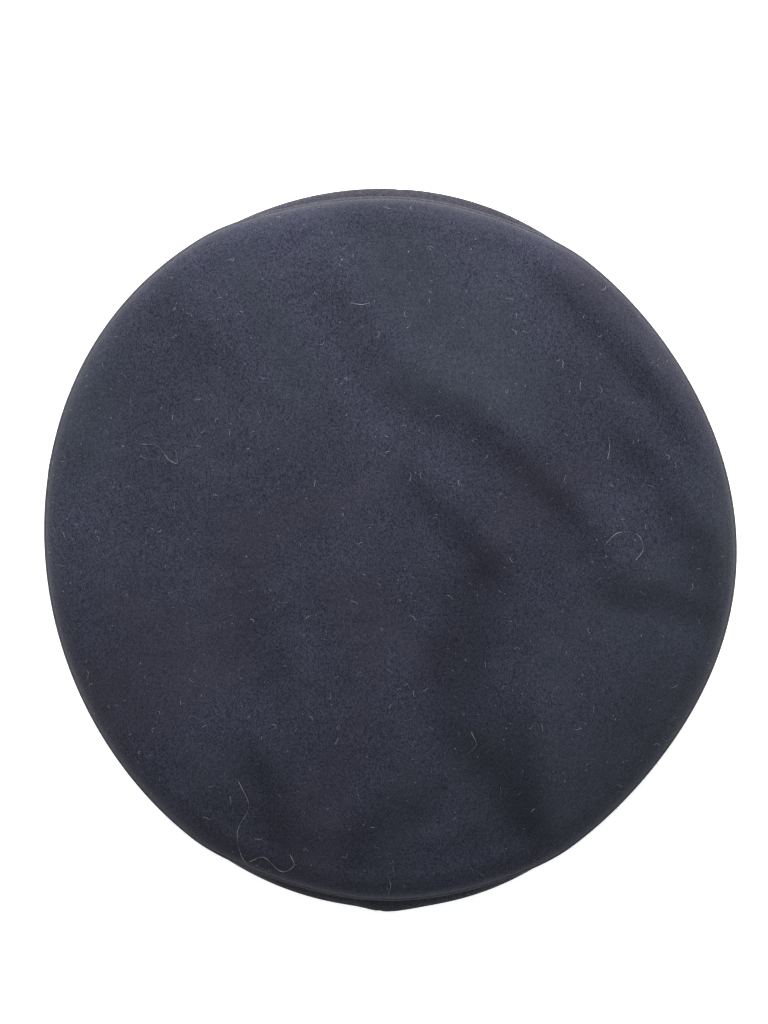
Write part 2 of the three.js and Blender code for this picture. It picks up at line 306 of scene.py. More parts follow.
def spun(name, outline, steps, low=0.0, high=2 * math.pi, halvings=4):
    # turns a section round the axis; a short arc is spun and then doubled, and a part turn has its two ends closed
    full = high - low > 6.28
    copies = 2**halvings
    arc = (high - low) / copies
    bm = bmesh.new()
    verts = [bm.verts.new((r * mm * math.cos(low), r * mm * math.sin(low), z * mm)) for r, z in outline]
    edges = [bm.edges.new(pair) for pair in zip(verts, verts[1:])]
    if outline[0][0] > 1e-6:
        edges.append(bm.edges.new((verts[-1], verts[0])))
    bmesh.ops.spin(bm, geom=verts + edges, cent=(0, 0, 0), axis=(0, 0, 1), angle=arc,
                   steps=round(steps / copies), use_merge=False, use_duplicate=False)
    for doubling in range(halvings):
        again = bmesh.ops.duplicate(bm, geom=bm.verts[:] + bm.edges[:] + bm.faces[:])["geom"]
        moved = [part for part in again if isinstance(part, bmesh.types.BMVert)]
        turn = Matrix.Rotation(arc * 2**doubling, 3, "Z")
        bmesh.ops.rotate(bm, verts=moved, cent=(0, 0, 0), matrix=turn)
    bmesh.ops.remove_doubles(bm, verts=bm.verts, dist=2e-6)
    if not full:
        rim = [e for e in bm.edges if e.is_boundary]
        bmesh.ops.holes_fill(bm, edges=rim, sides=0)
    bmesh.ops.recalc_face_normals(bm, faces=bm.faces)
    mesh = bpy.data.meshes.new(name)
    bm.to_mesh(mesh)
    bm.free()
    return mesh


def strands(name, lines, thickness, sides=0):
    # many short threads or fibres as one mesh; each line is an array of places in metres
    curve = bpy.data.curves.new(name, "CURVE")
    curve.dimensions = "3D"
    curve.bevel_depth = thickness / 2
    curve.bevel_resolution = sides
    curve.use_fill_caps = True
    for line in lines:
        spline = curve.splines.new("POLY")
        spline.points.add(len(line) - 1)
        spline.points.foreach_set("co", np.column_stack([line, np.ones(len(line))]).ravel())
    holder = bpy.data.objects.new(name + "Holder", curve)
    mesh = bpy.data.meshes.new_from_object(holder)
    bpy.data.objects.remove(holder)
    bpy.data.curves.remove(curve)
    mesh.name = name
    return mesh


def newGroup(name, inputs, outputs):
    group = bpy.data.node_groups.new(name, "ShaderNodeTree")
    for label, kind, default in inputs:
        socket = group.interface.new_socket(name=label, in_out="INPUT", socket_type=kind)
        if default is not None:
            socket.default_value = default
    for label, kind in outputs:
        group.interface.new_socket(name=label, in_out="OUTPUT", socket_type=kind)
    return group, group.nodes.new("NodeGroupInput"), group.nodes.new("NodeGroupOutput")


def addNode(tree, kind, settings=None, **values):
    node = tree.nodes.new(kind)
    for key, value in (settings or {}).items():
        setattr(node, key, value)
    for key, value in values.items():
        node.inputs[key.replace("_", " ")].default_value = value
    return node


def mathNode(tree, operation, a, b):
    node = tree.nodes.new("ShaderNodeMath")
    node.operation = operation
    for socket, value in zip(node.inputs, (a, b)):
        if isinstance(value, (int, float)):
            socket.default_value = value
        else:
            tree.links.new(value, socket)
    return node.outputs[0]


def mixColour(tree, factor, a, b, blend="MIX"):
    node = tree.nodes.new("ShaderNodeMix")
    node.data_type = "RGBA"
    node.blend_type = blend
    for socket, value in ((node.inputs[0], factor), (node.inputs[6], a), (node.inputs[7], b)):
        if isinstance(value, (int, float, tuple)):
            socket.default_value = value
        else:
            tree.links.new(value, socket)
    return node.outputs[2]


def ramp(tree, value, low, high, toLow=0.0, toHigh=1.0):
    node = tree.nodes.new("ShaderNodeMapRange")
    node.interpolation_type = "SMOOTHSTEP"
    for key, number in (("From Min", low), ("From Max", high), ("To Min", toLow), ("To Max", toHigh)):
        node.inputs[key].default_value = number
    tree.links.new(value, node.inputs["Value"])
    return node.outputs["Result"]


def makeNapGroup():
    # short milled nap: fine streaky grain, patches of tint and slow mottling of shade
    group, start, end = newGroup(
        "milledNap",
        [("Vector", "NodeSocketVector", None), ("Grain per metre", "NodeSocketFloat", 1500.0),
         ("Streak", "NodeSocketFloat", 0.45)],
        [("Grain", "NodeSocketFloat"), ("Mottle", "NodeSocketFloat"), ("Tint", "NodeSocketFloat"),
         ("Height", "NodeSocketFloat")],
    )
    links = group.links
    squeeze = group.nodes.new("ShaderNodeCombineXYZ")
    squeeze.inputs[0].default_value = 1
    squeeze.inputs[2].default_value = 1
    links.new(start.outputs["Streak"], squeeze.inputs[1])
    along = addNode(group, "ShaderNodeVectorMath", {"operation": "MULTIPLY"})
    links.new(start.outputs["Vector"], along.inputs[0])
    links.new(squeeze.outputs[0], along.inputs[1])
    fine = addNode(group, "ShaderNodeTexNoise", Detail=3.0, Roughness=0.7, Distortion=0.4)
    links.new(along.outputs[0], fine.inputs["Vector"])
    links.new(start.outputs["Grain per metre"], fine.inputs["Scale"])
    coarse = addNode(group, "ShaderNodeTexNoise", Detail=2.0, Roughness=0.6)
    links.new(along.outputs[0], coarse.inputs["Vector"])
    links.new(mathNode(group, "MULTIPLY", start.outputs["Grain per metre"], 0.3), coarse.inputs["Scale"])
    grain = mathNode(group, "ADD", mathNode(group, "MULTIPLY", fine.outputs["Fac"], 0.86),
                     mathNode(group, "MULTIPLY", coarse.outputs["Fac"], 0.14))
    slow = addNode(group, "ShaderNodeTexNoise", Scale=21.0, Detail=3.0, Roughness=0.55)
    links.new(start.outputs["Vector"], slow.inputs["Vector"])
    tint = addNode(group, "ShaderNodeTexNoise", Scale=13.0, Detail=2.0, Roughness=0.5, Distortion=0.6)
    links.new(start.outputs["Vector"], tint.inputs["Vector"])
    links.new(grain, end.inputs["Grain"])
    links.new(slow.outputs["Fac"], end.inputs["Mottle"])
    links.new(tint.outputs["Fac"], end.inputs["Tint"])
    links.new(grain, end.inputs["Height"])
    return group


def makeDustGroup():
    # pinpoint specks of lint caught in the nap, as a mask
    group, start, end = newGroup(
        "lintDust",
        [("Vector", "NodeSocketVector", None), ("Specks per metre", "NodeSocketFloat", 260.0),
         ("Size", "NodeSocketFloat", 0.07), ("Share", "NodeSocketFloat", 0.4)],
        [("Mask", "NodeSocketFloat")],
    )
    cells = addNode(group, "ShaderNodeTexVoronoi", {"feature": "F1"})
    group.links.new(start.outputs["Vector"], cells.inputs["Vector"])
    group.links.new(start.outputs["Specks per metre"], cells.inputs["Scale"])
    spot = mathNode(group, "LESS_THAN", cells.outputs["Distance"], start.outputs["Size"])
    pick = addNode(group, "ShaderNodeSeparateColor")
    group.links.new(cells.outputs["Color"], pick.inputs[0])
    some = mathNode(group, "LESS_THAN", pick.outputs[0], start.outputs["Share"])
    strength = mathNode(group, "MULTIPLY", spot, some)
    group.links.new(mathNode(group, "MULTIPLY", strength, pick.outputs[1]), end.inputs["Mask"])
    return group


napGroup = makeNapGroup()
dustGroup = makeDustGroup()


def placeGroup(tree, group, vector, **values):
    node = addNode(tree, "ShaderNodeGroup", {"node_tree": group}, **values)
    tree.links.new(vector, node.inputs["Vector"])
    return node


def startMaterial(name, **values):
    material = bpy.data.materials.new(name)
    material.use_nodes = True
    tree = material.node_tree
    shader = tree.nodes["Principled BSDF"]
    for key, value in values.items():
        shader.inputs[key.replace("_", " ")].default_value = value
    coordinates = tree.nodes.new("ShaderNodeTexCoord").outputs["Object"]
    return material, tree, shader, coordinates


def bumpFrom(tree, shader, height, strength, distance):
    bump = addNode(tree, "ShaderNodeBump", Strength=strength, Distance=distance)
    tree.links.new(height, bump.inputs["Height"])
    tree.links.new(bump.outputs["Normal"], shader.inputs["Normal"])


# pressed is the colour of painted shade in the folds; worn is the colour of the ridge's wear and of the painted sheen
# and light on the tip's rim and the panels' rolls
feltLook = {
    "dark": (0.0088, 0.0098, 0.0210, 1),
    "light": (0.0495, 0.0540, 0.0825, 1),
    "green": (0.0270, 0.0360, 0.0440, 1),
    "plum": (0.0370, 0.0320, 0.0520, 1),
    "wearAndPaintedLight": (0.1000, 0.0930, 0.0960, 1),
    "pressed": (0.0040, 0.0050, 0.0090, 1),
    "speck": (0.3000, 0.2900, 0.2800, 1),
}


def makeFelt():
    material, tree, shader, place = startMaterial(
        "milledWool", Roughness=0.95, Specular_IOR_Level=0.12, Sheen_Weight=0.14, Sheen_Roughness=0.5,
        Sheen_Tint=(0.68, 0.69, 0.76, 1))
    nap = placeGroup(tree, napGroup, place, Grain_per_metre=2400.0, Streak=0.55)
    base = mixColour(tree, ramp(tree, nap.outputs["Grain"], 0.35, 0.67), feltLook["dark"], feltLook["light"])
    green = ramp(tree, nap.outputs["Tint"], 0.52, 0.68, 0, 0.55)
    plum = ramp(tree, nap.outputs["Tint"], 0.47, 0.34, 0, 0.5)
    base = mixColour(tree, mathNode(tree, "MULTIPLY", green, 0.6), base, feltLook["green"])
    base = mixColour(tree, mathNode(tree, "MULTIPLY", plum, 0.6), base, feltLook["plum"])
    mottle = ramp(tree, nap.outputs["Mottle"], 0.3, 0.7, 0.86, 1.14)
    shade = tree.nodes.new("ShaderNodeCombineColor")
    for socket in shade.inputs:
        tree.links.new(mottle, socket)
    base = mixColour(tree, 1.0, base, shade.outputs[0], "MULTIPLY")
    # painted shade: the felt is darkened along the folds, standing in for shadow in the creases
    pressed = addNode(tree, "ShaderNodeAttribute", {"attribute_name": "pressed"})
    base = mixColour(tree, mathNode(tree, "MULTIPLY", pressed.outputs["Fac"], foldShape["shade"]), base,
                     feltLook["pressed"])
    # wear on the tip's ridge, and painted sheen and painted light on the tip's rim and the panels' rolls, lighten the
    # felt
    wearAndPaintedLight = addNode(tree, "ShaderNodeAttribute", {"attribute_name": "wearAndPaintedLight"})
    wearAndLightMix = mathNode(tree, "MULTIPLY", wearAndPaintedLight.outputs["Fac"], ramp(tree, nap.outputs["Grain"], 0.42, 0.6, 0.15, 1.0))
    base = mixColour(tree, wearAndLightMix, base, feltLook["wearAndPaintedLight"])
    dust = placeGroup(tree, dustGroup, place, Specks_per_metre=260.0, Size=0.06, Share=0.24)
    base = mixColour(tree, dust.outputs["Mask"], base, feltLook["speck"])
    tree.links.new(base, shader.inputs["Base Color"])
    tree.links.new(ramp(tree, nap.outputs["Grain"], 0.3, 0.7, 0.98, 0.86), shader.inputs["Roughness"])
    bumpFrom(tree, shader, nap.outputs["Height"], 0.62, 0.0006)
    return material


satinLook = {"dark": (0.011, 0.013, 0.026, 1), "light": (0.022, 0.026, 0.048, 1), "float": (0.04, 0.045, 0.07, 1)}


def makeSatin():
    material, tree, shader, place = startMaterial(
        "liningSatin", Roughness=0.4, Specular_IOR_Level=0.5, Sheen_Weight=0.2, Anisotropic=0.3)
    weave = addNode(tree, "ShaderNodeTexWave", {"bands_direction": "DIAGONAL"}, Scale=900.0, Distortion=0.6)
    tree.links.new(place, weave.inputs["Vector"])
    slow = addNode(tree, "ShaderNodeTexNoise", Scale=30.0, Detail=3.0)
    tree.links.new(place, slow.inputs["Vector"])
    base = mixColour(tree, ramp(tree, slow.outputs["Fac"], 0.3, 0.7), satinLook["dark"], satinLook["light"])
    base = mixColour(tree, mathNode(tree, "MULTIPLY", weave.outputs["Fac"], 0.3), base, satinLook["float"])
    tree.links.new(base, shader.inputs["Base Color"])
    tree.links.new(ramp(tree, slow.outputs["Fac"], 0.3, 0.7, 0.34, 0.5), shader.inputs["Roughness"])
    bumpFrom(tree, shader, weave.outputs["Fac"], 0.3, 0.0001)
    return material


ribbonLook = {"dark": (0.007, 0.0075, 0.011, 1), "light": (0.02, 0.021, 0.028, 1)}


def makeRibbon():
    material, tree, shader, place = startMaterial("ribbonGrosgrain", Roughness=0.75, Sheen_Weight=0.25)
    threads = addNode(tree, "ShaderNodeTexNoise", Scale=2600.0, Detail=2.0)
    tree.links.new(place, threads.inputs["Vector"])
    base = mixColour(tree, ramp(tree, threads.outputs["Fac"], 0.35, 0.65), ribbonLook["dark"], ribbonLook["light"])
    tree.links.new(base, shader.inputs["Base Color"])
    tree.links.new(ramp(tree, threads.outputs["Fac"], 0.3, 0.7, 0.85, 0.65), shader.inputs["Roughness"])
    bumpFrom(tree, shader, threads.outputs["Fac"], 0.4, 0.00015)
    return material


leatherLook = {"dark": (0.012, 0.010, 0.009, 1), "light": (0.028, 0.023, 0.02, 1)}


def makeLeather():
    material, tree, shader, place = startMaterial("sweatLeather", Roughness=0.5, Coat_Weight=0.05)
    grain = addNode(tree, "ShaderNodeTexVoronoi", {"feature": "DISTANCE_TO_EDGE"}, Scale=900.0)
    tree.links.new(place, grain.inputs["Vector"])
    slow = addNode(tree, "ShaderNodeTexNoise", Scale=60.0, Detail=4.0)
    tree.links.new(place, slow.inputs["Vector"])
    base = mixColour(tree, ramp(tree, slow.outputs["Fac"], 0.3, 0.7), leatherLook["dark"], leatherLook["light"])
    tree.links.new(base, shader.inputs["Base Color"])
    tree.links.new(ramp(tree, slow.outputs["Fac"], 0.3, 0.7, 0.42, 0.6), shader.inputs["Roughness"])
    bumpFrom(tree, shader, ramp(tree, grain.outputs["Distance"], 0.0, 0.12), 0.35, 0.0002)
    return material


threadLook = {"dark": (0.012, 0.013, 0.02, 1), "light": (0.035, 0.038, 0.052, 1)}


def makeThread():
    material, tree, shader, place = startMaterial("sewingThread", Roughness=0.6, Sheen_Weight=0.3)
    twist = addNode(tree, "ShaderNodeTexNoise", Scale=3000.0, Detail=1.0)
    tree.links.new(place, twist.inputs["Vector"])
    base = mixColour(tree, twist.outputs["Fac"], threadLook["dark"], threadLook["light"])
    tree.links.new(base, shader.inputs["Base Color"])
    tree.links.new(ramp(tree, twist.outputs["Fac"], 0.3, 0.7, 0.7, 0.5), shader.inputs["Roughness"])
    bumpFrom(tree, shader, twist.outputs["Fac"], 0.3, 0.0001)
    return material


labelLook = {"dark": (0.52, 0.49, 0.41, 1), "light": (0.68, 0.65, 0.56, 1)}


def makeLabelCloth():
    material, tree, shader, place = startMaterial("labelTaffeta", Roughness=0.7, Sheen_Weight=0.15)
    weave = addNode(tree, "ShaderNodeTexWave", {"bands_direction": "X"}, Scale=700.0)
    tree.links.new(place, weave.inputs["Vector"])
    weft = addNode(tree, "ShaderNodeTexWave", {"bands_direction": "Y"}, Scale=500.0)
    tree.links.new(place, weft.inputs["Vector"])
    cross = mathNode(tree, "MULTIPLY", weave.outputs["Fac"], weft.outputs["Fac"])
    base = mixColour(tree, cross, labelLook["dark"], labelLook["light"])
    tree.links.new(base, shader.inputs["Base Color"])
    tree.links.new(ramp(tree, cross, 0, 1, 0.8, 0.6), shader.inputs["Roughness"])
    bumpFrom(tree, shader, cross, 0.3, 0.0001)
    return material


fibreLook = {
    "napFibre": {"dark": (0.03, 0.033, 0.05, 1), "light": (0.09, 0.095, 0.125, 1), "roughness": 0.8},
    "lintFibre": {"dark": (0.1, 0.1, 0.11, 1), "light": (0.42, 0.4, 0.38, 1), "roughness": 0.6},
}


def makeFibre(name):
    look = fibreLook[name]
    roughness = look["roughness"]
    material, tree, shader, place = startMaterial(name, Roughness=roughness, Specular_IOR_Level=0.3)
    vary = addNode(tree, "ShaderNodeTexNoise", Scale=160.0, Detail=1.0)
    tree.links.new(place, vary.inputs["Vector"])
    base = mixColour(tree, ramp(tree, vary.outputs["Fac"], 0.35, 0.65), look["dark"], look["light"])
    tree.links.new(base, shader.inputs["Base Color"])
    tree.links.new(ramp(tree, vary.outputs["Fac"], 0.3, 0.7, roughness + 0.1, roughness - 0.1),
                   shader.inputs["Roughness"])
    return material


felt = makeFelt()
satin = makeSatin()
ribbon = makeRibbon()
leather = makeLeather()
thread = makeThread()
labelCloth = makeLabelCloth()
napFibre = makeFibre("napFibre")
lintFibre = makeFibre("lintFibre")
print("materials")

# the fringe's share is painted sheen round the tip's rim
tipCloth = {"steps": 480, "outerSpacing": 2.0, "rimSpacing": 0.55, "innerSpacing": 8.0,
           "ridgeWear": 0.9, "fringePaintedSheen": 0.08}


def makeCrownTip():
    top = sectionLine([(0, 37), (30, 37), (60, 36.95), (90, 36.5), (113, 35.05), (129, 32.3), (135, 29.9)],
                      tipCloth["outerSpacing"])
    rim = sectionLine([(135, 29.9), (138, 27.6), (139.9, 25.1), (140.6, 23.2), (140.8, 22.3), (141.5, 21.7),
                       (142.0, 20.9), (141.9, 19.5), (140.8, 18.45), (139, 18.4), (134, 18.4)],
                      tipCloth["rimSpacing"])
    outer = np.vstack([top, rim[1:]])
    inner = sectionLine([(134, 20.4), (138.2, 20.6), (138.9, 22.6), (137.9, 25), (134.4, 28), (128.3, 30.3),
                         (112.6, 33), (89.8, 34.5), (60, 35), (0, 35)], tipCloth["innerSpacing"])
    mesh = spun("crownTipCloth", np.vstack([outer, inner]), tipCloth["steps"])
    places = readPlaces(mesh)
    radius = polar(places)[0] / mm
    # the ridge is rubbed lighter by wear; the fringe is painted sheen, a lighter band round the tip's rim standing in
    # for grazing light on the nap
    ridge = np.exp(-(((radius - 142) / 0.8) ** 2)) * smoothstep(19 * mm, 21 * mm, places[:, 2])
    fringe = tipCloth["fringePaintedSheen"] * smoothstep(134, 141, radius)
    writeShare(mesh, "wearAndPaintedLight", np.clip(tipCloth["ridgeWear"] * ridge + fringe, 0, 1))
    places = settle(places, 1.0)
    writePlaces(mesh, places)
    # painted shade along the folds, which the felt's material reads
    writeShare(mesh, "pressed", foldHeight(places[:, 0] - axisX, places[:, 1] - axisY)[1])
    piece = addPiece("crownTipCloth", mesh, felt)
    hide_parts("crown_tip")
    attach(piece, "crown")
    return piece


crownTip = makeCrownTip()
print("crown tip")

# the roll's share is painted light on the rolled tops of the panels
sidePanel = {"steps": 240, "outerSpacing": 1.5, "innerSpacing": 5.0, "seamDip": 0.28 * mm, "seamWidth": 1.3 * mm,
             "rollPaintedLight": 0.33}


def crowdEnds(places, low, high, crowding=0.86):
    # moves a half ring's columns of points towards its two ends, where the seam needs them
    radius, angle = polar(places)
    angle = (angle - low + 0.01) % (2 * math.pi) - 0.01
    along = angle / (high - low)
    angle = low + (high - low) * (along - crowding * np.sin(2 * math.pi * along) / (2 * math.pi))
    return np.column_stack([radius * np.cos(angle), radius * np.sin(angle), places[:, 2]])


def makeSidePanel(side, word):
    outer = sectionLine([(134, 18.1), (138.5, 18.1), (140.6, 17.8), (141.7, 16.6), (142, 14.8), (141.4, 12.2),
                         (139.6, 9.4), (136.2, 6.8), (129.2, 4.0), (117.5, 1.4), (107.5, 0.05), (102.5, 0.05),
                         (99.2, 0.9), (94.1, 0.92)], sidePanel["outerSpacing"])
    inner = sectionLine([(93.9, 2.88), (98.7, 2.88), (102.6, 2.05), (107.4, 2.1), (117.2, 3.4), (128.2, 5.9),
                         (134.9, 8.7), (137.9, 10.9), (139.4, 13.0), (139.9, 14.8), (139.2, 15.9), (134, 16.1)],
                        sidePanel["innerSpacing"])
    low = -side * math.pi / 2
    mesh = spun("sidePanel" + word, np.vstack([outer, inner]), sidePanel["steps"], low, low + math.pi)
    places = crowdEnds(readPlaces(mesh), low, low + math.pi)
    radius, angle = polar(places)
    dip = sidePanel["seamDip"] * np.exp(-(places[:, 0] / sidePanel["seamWidth"]) ** 2)
    dip *= smoothstep(2 * mm, 5 * mm, places[:, 2])
    ease = smoothstep(128 * mm, 104 * mm, radius) * smoothstep(96 * mm, 102 * mm, radius)
    ripple = np.sin(41 * angle + 2 * np.sin(3 * angle)) + 0.6 * np.sin(67 * angle + 1.3)
    shrink = 1 - dip / radius
    places = places * np.column_stack([shrink, shrink, np.ones(len(radius))])
    places[:, 2] += ease * (0.28 * mm * ripple + 0.3 * mm)  # the cloth puckers where it is sewn to the ribbon
    # painted light: the rolled tops of the side panels are lightened, standing in for light on the roll
    writeShare(mesh, "wearAndPaintedLight", sidePanel["rollPaintedLight"] * smoothstep(9 * mm, 16 * mm, places[:, 2]))
    writePlaces(mesh, settle(places))
    piece = addPiece("sidePanel" + word + "Cloth", mesh, felt)
    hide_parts("side_panel_" + word.lower())
    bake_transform(piece)
    return piece


sidePanels = {word: makeSidePanel(side, word) for side, word in ((1, "Left"), (-1, "Right"))}
print("side panels")

lining = {"tipSteps": 300, "sideSteps": 160, "spacing": 3.0, "halfGap": 0.15}


def makeLiningTip():
    upper = sectionLine([(0, 33.6), (60, 33.6), (88, 32.8), (108, 30), (121, 25.6), (127.7, 21.1), (129.3, 18.2),
                         (129.7, 17.2), (130.4, 16.85), (131.5, 16.85)], lining["spacing"])
    lower = sectionLine([(131.5, 16.35), (130.2, 16.35), (129.1, 17.0), (128.8, 18.1), (127.2, 20.9), (120.7, 25.2),
                         (107.8, 29.5), (87.9, 32.3), (60, 33.1), (0, 33.1)], lining["spacing"])
    mesh = spun("liningTipSatin", np.vstack([upper, lower]), lining["tipSteps"])
    places = readPlaces(mesh)
    radius, angle = polar(places)
    gather = smoothstep(100 * mm, 122 * mm, radius) * smoothstep(129 * mm, 124 * mm, radius)
    places[:, 2] -= 0.5 * mm * gather * (1 + np.sin(53 * angle + 2.4 * np.sin(5 * angle)))
    writePlaces(mesh, settle(places, 1.0))
    piece = addPiece("liningTipSatin", mesh, satin)
    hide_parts("lining_tip")
    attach(piece, "crown")


def makeLiningSide(side, word):
    upper = sectionLine([(131.5, 16.05), (130.3, 16.05), (129.4, 15.7), (129.05, 15), (128.3, 12.4), (125.3, 10.1),
                         (118.4, 8.45), (108.4, 6.7), (100.5, 3.75), (94.3, 3.72)], lining["spacing"] * 0.6)
    lower = sectionLine([(94.3, 3.22), (100.4, 3.22), (108.6, 6.15), (118.5, 7.95), (125.6, 9.65), (128.8, 12.1),
                         (129.6, 14.9), (130.4, 15.5), (131.5, 15.55)], lining["spacing"] * 0.8)
    turn = lining["halfGap"] / 112
    low = turn - side * math.pi / 2
    mesh = spun("liningSide" + word, np.vstack([upper, lower]), lining["sideSteps"], low, low + math.pi - 2 * turn)
    places = readPlaces(mesh)
    radius, angle = polar(places)
    gather = smoothstep(102 * mm, 110 * mm, radius) * smoothstep(127 * mm, 120 * mm, radius)
    places[:, 2] += 0.35 * mm * gather * (1 + np.sin(61 * angle + 2 * np.sin(4 * angle)))
    writePlaces(mesh, settle(places))
    piece = addPiece("liningSide" + word + "Satin", mesh, satin)
    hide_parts("lining_side_" + word.lower())
    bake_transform(piece)


makeLiningTip()
for side, word in ((1, "Left"), (-1, "Right")):
    makeLiningSide(side, word)
print("lining")

headOpening = {"ribs": 744, "ribDepth": 0.09 * mm, "bandSteps": 320, "halfGap": 0.15, "tabWidth": 20}


def makeBinding():
    outline = [(98.5, 0.02), (96.5, 0.02), (94.2, 0.02), (93.25, 0.2), (93.02, 0.7), (93.0, 2.3), (93.02, 3.9),
               (93.25, 4.4), (94.2, 4.58), (96.5, 4.58), (98.5, 4.58), (98.5, 4.02), (96.5, 4.0), (94.0, 3.98),
               (93.62, 3.7), (93.6, 2.3), (93.62, 0.9), (94.0, 0.62), (96.5, 0.6), (98.5, 0.58)]
    steps = 2 * headOpening["ribs"]
    mesh = spun("bindingRibbon", np.array(outline), steps)
    places = readPlaces(mesh)
    _, angle = polar(places)
    odd = np.round(angle / (2 * math.pi) * steps).astype(int) % 2
    middle = np.column_stack([95.2 * mm * np.cos(angle), 95.2 * mm * np.sin(angle), np.full(len(angle), 2.3 * mm)])
    inwards = middle - places
    inwards[:, 2] *= 1.6
    inwards /= np.linalg.norm(inwards, axis=1, keepdims=True)
    places += inwards * (odd * headOpening["ribDepth"])[:, None]
    writePlaces(mesh, settle(places))
    piece = addPiece("bindingRibbon", mesh, ribbon)
    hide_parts("edge_binding")
    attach(piece, "headband")


def makeSweatband():
    outline = [(91.55, 0.7), (91.9, 0.6), (92.4, 0.65), (92.5, 1.2), (92.5, 8), (92.5, 15), (92.5, 21),
               (92.55, 22.3), (92.45, 22.9), (92.0, 23.1), (91.5, 22.9), (91.35, 22.3), (91.5, 21.2),
               (91.5, 15), (91.5, 8), (91.5, 1.4)]
    fine = []
    for a, b in zip(outline, outline[1:] + outline[:1]):
        pieces = max(1, round(math.dist(a, b) / 1.5))
        fine += [(a[0] + (b[0] - a[0]) * i / pieces, a[1] + (b[1] - a[1]) * i / pieces) for i in range(pieces)]
    turn = headOpening["halfGap"] / 92
    low = math.pi / 2 + turn
    mesh = spun("sweatbandLeather", np.array(fine), headOpening["bandSteps"], low, low + 2 * math.pi - 2 * turn)
    places = readPlaces(mesh)
    radius, angle = polar(places)
    loose = smoothstep(6 * mm, 22 * mm, places[:, 2])
    inward = 0.25 * mm * loose * (1 + np.sin(5 * angle + 1) * np.sin(3 * angle + 0.4))
    shrink = 1 - inward / radius
    places[:, :2] *= shrink[:, None]
    writePlaces(mesh, settle(places))
    piece = addPiece("sweatbandLeather", mesh, leather)
    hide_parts("sweatband")
    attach(piece, "headband")


def makeTab():
    outline = [(90.25, 4.7), (90.45, 4.5), (91.0, 4.5), (91.18, 4.7), (91.2, 9), (91.2, 17), (91.18, 21.3),
               (91.0, 21.5), (90.45, 21.5), (90.25, 21.3), (90.2, 17), (90.2, 9)]
    half = math.asin(headOpening["tabWidth"] / 2 / 90.7)
    mesh = spun("sweatbandTab", np.array(outline), 24, math.pi / 2 - half, math.pi / 2 + half)
    places = readPlaces(mesh)
    shrink = 1 - 0.45 * mm * smoothstep(6 * mm, 22 * mm, places[:, 2]) / (90.7 * mm)
    places[:, :2] *= shrink[:, None]
    writePlaces(mesh, settle(places))
    piece = addPiece("sweatbandTabLeather", mesh, leather)
    bevel = piece.modifiers.new("edge", "BEVEL")
    bevel.width = 0.15 * mm
    bevel.segments = 2
    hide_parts("sweatband_tab")
    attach(piece, "headband")


makeBinding()
makeSweatband()
makeTab()
print("head opening")

label = {"width": 50, "depth": 28, "thickness": 0.5, "y": 12, "top": 32.8, "hem": 2.2}


def makeLabel():
    bm = bmesh.new()
    bmesh.ops.create_grid(bm, x_segments=50, y_segments=28, size=0.5)
    mesh = bpy.data.meshes.new("wovenLabel")
    bm.to_mesh(mesh)
    bm.free()
    places = readPlaces(mesh)
    x = places[:, 0] * label["width"] * mm
    y = places[:, 1] * label["depth"] * mm
    edge = np.minimum(label["width"] / 2 * mm - np.abs(x), label["depth"] / 2 * mm - np.abs(y))
    curl = 0.25 * mm * smoothstep(2 * mm, 0, edge)
    z = np.full(len(x), (label["top"] - label["thickness"] / 2) * mm) - curl
    writePlaces(mesh, settle(np.column_stack([x, y + label["y"] * mm, z]), 1.0))
    piece = addPiece("wovenLabel", mesh, labelCloth)
    thick = piece.modifiers.new("thickness", "SOLIDIFY")
    thick.thickness = 0.4 * mm
    thick.offset = 0
    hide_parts("label")
    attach(piece, "crown")


makeLabel()
print("label")

stitching = {"length": 2.6, "space": 0.9, "thickness": 0.38}


def stitchRow(route, out, length=None):
    # a row of lockstitches along a route of places; out is the way they stand off the cloth, one per place
    length = length or stitching["length"]
    route = np.array(route)
    travelled = np.concatenate([[0], np.cumsum(np.linalg.norm(np.diff(route, axis=0), axis=1))])
    pitch = (length + stitching["space"]) * mm
    count = int(travelled[-1] / pitch)
    pitch = travelled[-1] / count
    found = []
    for i in range(count):
        where = pitch * i + np.array([0.12, 0.2, 0.5, 0.8, 0.88]) * pitch
        rise = np.array([-0.45, -0.05, 0.1, -0.05, -0.45]) * mm
        at = np.column_stack([np.interp(where, travelled, route[:, k]) for k in range(3)])
        away = np.column_stack([np.interp(where, travelled, out[:, k]) for k in range(3)])
        found.append(at + away * rise[:, None])
    return found


def ringRoute(radius, height, count=720):
    angle = np.linspace(0, 2 * math.pi, count)
    return np.column_stack([radius * mm * np.cos(angle), radius * mm * np.sin(angle), np.full(count, height * mm)])


def makeStitches(name, node, body, lines, thickness=None):
    piece = addPiece(name, strands(name, lines, (thickness or stitching["thickness"]) * mm, 1), thread)
    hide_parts(node)
    if body is None:
        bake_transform(piece)
    else:
        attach(piece, body)


upwards = np.tile([0.0, 0.0, 1.0], (720, 1))
tipRoute = ringRoute(135.8, 20.9)
makeStitches("tipSeamStitches", "tip_seam_thread", "crown", stitchRow(settle(tipRoute), upwards))
liningRoute = ringRoute(130.9, 17.3)
makeStitches("liningSeamStitches", "lining_seam_thread", "crown", stitchRow(settle(liningRoute), upwards))
bindingRoute = ringRoute(96.85, 4.95)
makeStitches("bindingStitches", "binding_thread", "headband", stitchRow(settle(bindingRoute), upwards))
bandRoute = ringRoute(91.3, 2.6)
bandOut = -bandRoute / np.linalg.norm(bandRoute[:, :2], axis=1, keepdims=True)
bandOut[:, 2] = 0
makeStitches("sweatbandStitches", "sweatband_thread", "headband", stitchRow(settle(bandRoute), bandOut))


